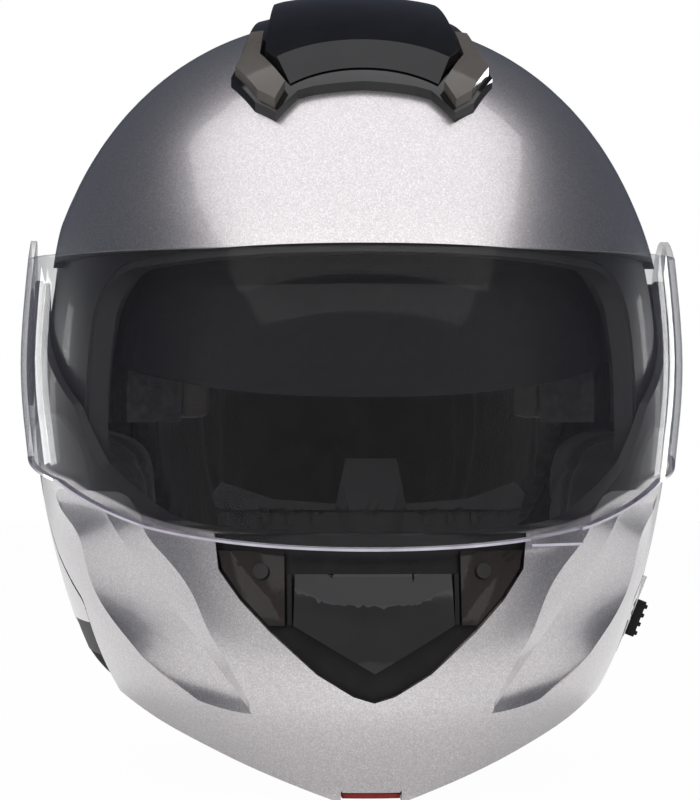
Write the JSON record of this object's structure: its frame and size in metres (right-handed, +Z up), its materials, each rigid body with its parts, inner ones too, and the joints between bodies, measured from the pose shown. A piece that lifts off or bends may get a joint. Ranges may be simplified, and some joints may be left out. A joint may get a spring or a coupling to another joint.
{
  "type": "flip-front motorcycle helmet",
  "caption": "Flip-front motorcycle helmet with a hinged chin bar, clear face shield, drop-down sun visor, sliding vents, lining and a buckled chin strap.",
  "frame": {"origin": "middle of the helmet's footprint, on the surface that it stands on", "axes": "+X to the wearer's left, -Y the front, +Z up"},
  "size_m": [0.2486, 0.3419, 0.2884],
  "materials": {
    "shell_paint": "metallic lacquer",
    "trim_rubber": "matte",
    "vent_black": "satin",
    "vent_gloss": "polished",
    "smoked_plastic": "polished",
    "clear_shield": "clear",
    "sun_lens": "tinted",
    "impact_foam": "beaded foam",
    "lining_cloth": "brushed knit",
    "mesh_black": "matte",
    "steel": "satin",
    "webbing": "woven",
    "button_red": "satin"
  },
  "bodies": {
    "shell": {"outer_shell": "shell_paint", "shell_edge_trim": "trim_rubber", "eye_port_seal": "trim_rubber", "impact_liner": "impact_foam", "crown_liner": "lining_cloth", "cheek_pad_left": "lining_cloth", "cheek_pad_right": "lining_cloth", "neck_roll": "lining_cloth", "top_vent_housing": "vent_black", "top_vent_corner_left": "smoked_plastic", "top_vent_corner_right": "smoked_plastic", "rear_vent_housing": "vent_black", "rear_vent_mesh": "mesh_black", "pivot_plate_left": "vent_black", "pivot_plate_right": "vent_black", "pivot_bolts": "steel", "latch_strikers": "steel", "sun_visor_pins": "steel", "sun_visor_track": "vent_black", "strap_anchors": "steel", "chin_strap_left": "webbing", "chin_strap_right": "webbing", "buckle_housing": "steel", "buckle_lever_pin": "steel", "buckle_tongue": "steel"},
    "chin_bar": {"chin_bar_shell": "shell_paint", "chin_bar_foam": "impact_foam", "chin_bar_lining": "lining_cloth", "chin_curtain": "lining_cloth", "breath_guard": "vent_black", "chin_vent_frame": "vent_black", "chin_vent_lens_left": "smoked_plastic", "chin_vent_lens_right": "smoked_plastic", "chin_vent_screws": "steel", "button_case": "vent_black", "button_spring": "steel", "latch_pins": "steel"},
    "shield": {"face_shield": "clear_shield", "shield_pod_left": "vent_black", "shield_pod_right": "vent_black"},
    "sun_visor": {"sun_visor": "sun_lens"},
    "sun_visor_knob": {"sun_visor_knob": "vent_black"},
    "top_vent_slider": {"top_vent_slider": "vent_gloss"},
    "chin_vent_slider": {"chin_vent_slider": "vent_gloss"},
    "release_button": {"release_button": "button_red"},
    "latch_pawl_left": {"latch_pawl_left": "steel"},
    "latch_pawl_right": {"latch_pawl_right": "steel"},
    "buckle_lever": {"buckle_lever": "steel"}
  },
  "joints": [
    {"name": "chin_bar_pivot", "type": "hinge", "parent": "shell", "child": "chin_bar", "pos_m": [0, 0, 0.157], "axis": [-1, 0, 0], "range_deg": [0, 80]},
    {"name": "shield_pivot", "type": "hinge", "parent": "chin_bar", "child": "shield", "pos_m": [0, 0, 0.157], "axis": [-1, 0, 0], "range_deg": [0, 48]},
    {"name": "sun_visor_pivot", "type": "hinge", "parent": "shell", "child": "sun_visor", "pos_m": [0, 0, 0.137], "axis": [-1, 0, 0], "range_deg": [0, 34]},
    {"name": "sun_visor_knob_slide", "type": "slide", "parent": "shell", "child": "sun_visor_knob", "axis": [0.3697, 0, 0.9291], "range_m": [0, 0.008]},
    {"name": "top_vent_slide", "type": "hinge", "parent": "shell", "child": "top_vent_slider", "pos_m": [0, -0.0079, 0.1346], "axis": [-1, 0, 0], "range_deg": [0, 3.5]},
    {"name": "chin_vent_slide", "type": "slide", "parent": "chin_bar", "child": "chin_vent_slider", "axis": [0, -0.1461, -0.9893], "range_m": [0, 0.005]},
    {"name": "release_button_press", "type": "slide", "parent": "chin_bar", "child": "release_button", "axis": [0, -1, 0], "range_m": [0, 0.0025], "stiffness_N_per_m": 500, "springref_m": 0.005},
    {"name": "latch_pawl_left_pivot", "type": "hinge", "parent": "chin_bar", "child": "latch_pawl_left", "pos_m": [0.073, -0.09, 0.047], "axis": [1, 0, 0], "range_deg": [0, 24]},
    {"name": "latch_pawl_right_pivot", "type": "hinge", "parent": "chin_bar", "child": "latch_pawl_right", "pos_m": [-0.073, -0.09, 0.047], "axis": [1, 0, 0], "range_deg": [0, 24]},
    {"name": "buckle_lever_pivot", "type": "hinge", "parent": "shell", "child": "buckle_lever", "pos_m": [0.0125, 0.02, 0.0205], "axis": [0, -1, 0], "range_deg": [0, 40]}
  ],
  "couplings": [
    {"joint": "sun_visor_knob_slide", "follows": "sun_visor_pivot", "m_per_rad": 0.01348},
    {"joint": "latch_pawl_left_pivot", "follows": "release_button_press", "rad_per_m": 167.55},
    {"joint": "latch_pawl_right_pivot", "follows": "release_button_press", "rad_per_m": 167.55}
  ]
}
